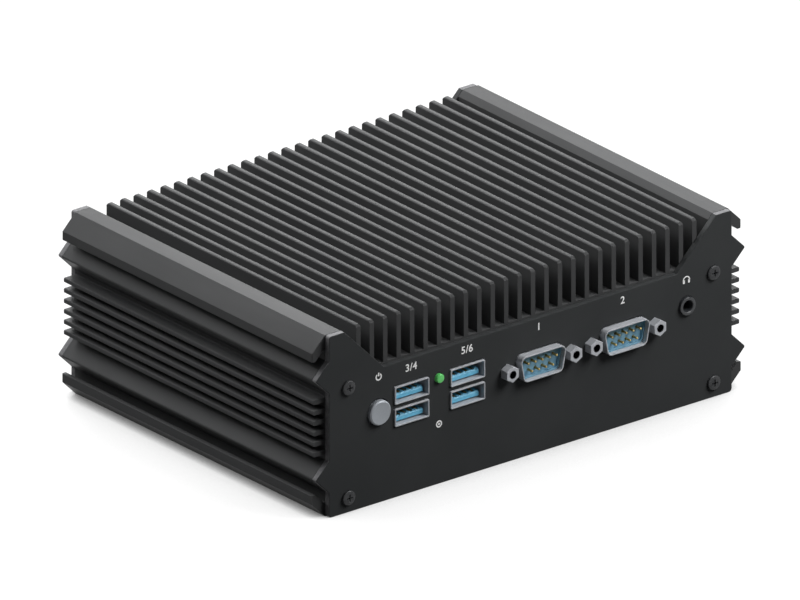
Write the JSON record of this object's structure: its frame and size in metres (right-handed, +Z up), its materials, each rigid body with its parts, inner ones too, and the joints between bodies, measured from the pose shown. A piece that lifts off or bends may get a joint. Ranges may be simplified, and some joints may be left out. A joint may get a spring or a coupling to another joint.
{
  "type": "fanless industrial computer",
  "caption": "Fanless computer in a finned aluminium housing, with data, serial and audio ports in front and power, video and network ports behind.",
  "frame": {"origin": "centre of the base, on the face that the computer rests on", "axes": "+X to the right seen from the front, the front plate faces -Y, +Z up"},
  "size_m": [0.1688, 0.1336, 0.0606],
  "materials": {
    "anodised_black": "black anodised, satin",
    "plate_black": "black anodised, fine satin",
    "screw_black": "black zinc, satin",
    "connector_steel": "nickel plated, satin",
    "blue_plastic": "moulded, semi-gloss",
    "serial_blue": "moulded, semi-matt",
    "contact_gold": "gold flashed",
    "black_plastic": "moulded, matt",
    "button_silver": "bead blasted, clear anodised",
    "lamp_green": "diffused epoxy",
    "lamp_amber": "diffused epoxy",
    "board_green": "solder resist on glass-epoxy",
    "bare_aluminium": "machined",
    "pad_grey": "soft silicone",
    "chip_black": "moulded package",
    "cell_steel": "plated",
    "nut_steel": "zinc plated"
  },
  "bodies": {
    "housing": {"audio_jack_body": "black_plastic", "audio_jack_sleeve": "black_plastic", "base_cover": "plate_black", "board_screws": "nut_steel", "capacitors": "bare_aluminium", "cell_holder": "black_plastic", "chassis": "anodised_black", "chokes": "chip_black", "coin_cell": "cell_steel", "cover_screws": "screw_black", "data_ports_left_contacts": "contact_gold", "data_ports_left_shell": "connector_steel", "data_ports_left_tongues": "blue_plastic", "data_ports_rear_contacts": "contact_gold", "data_ports_rear_shell": "connector_steel", "data_ports_rear_tongues": "blue_plastic", "data_ports_right_contacts": "contact_gold", "data_ports_right_shell": "connector_steel", "data_ports_right_tongues": "blue_plastic", "front_plate": "plate_black", "front_plate_screws": "screw_black", "heat_block": "bare_aluminium", "heat_block_screws": "nut_steel", "lamp_holder": "black_plastic", "mainboard": "board_green", "memory_chips": "chip_black", "memory_module": "board_green", "memory_socket": "black_plastic", "mounting_nuts": "nut_steel", "network_jack_1_insert": "black_plastic", "network_jack_1_shell": "connector_steel", "network_jack_2_insert": "black_plastic", "network_jack_2_shell": "connector_steel", "network_jack_lamps": "lamp_amber", "network_jack_wires": "contact_gold", "power_inlet_body": "black_plastic", "power_inlet_nut": "nut_steel", "power_inlet_pin": "contact_gold", "power_switch": "black_plastic", "processor": "chip_black", "rear_plate": "plate_black", "rear_plate_screws": "screw_black", "serial_1_insulator": "serial_blue", "serial_1_jackscrews": "connector_steel", "serial_1_pins": "contact_gold", "serial_1_shell": "connector_steel", "serial_2_insulator": "serial_blue", "serial_2_jackscrews": "connector_steel", "serial_2_pins": "contact_gold", "serial_2_shell": "connector_steel", "status_lamp": "lamp_green", "storage_module": "board_green", "storage_post": "nut_steel", "storage_screw": "nut_steel", "storage_socket": "black_plastic", "thermal_pad": "pad_grey", "video_port_1_shell": "connector_steel", "video_port_2_shell": "connector_steel", "video_port_tongues": "black_plastic"},
    "power_button": {"power_button": "button_silver"}
  },
  "joints": [
    {"name": "power_button_press", "type": "slide", "parent": "housing", "child": "power_button", "axis": [0, 1, 0], "range_m": [0, 0.001], "stiffness_N_per_m": 1500, "springref_m": -0.0006}
  ]
}
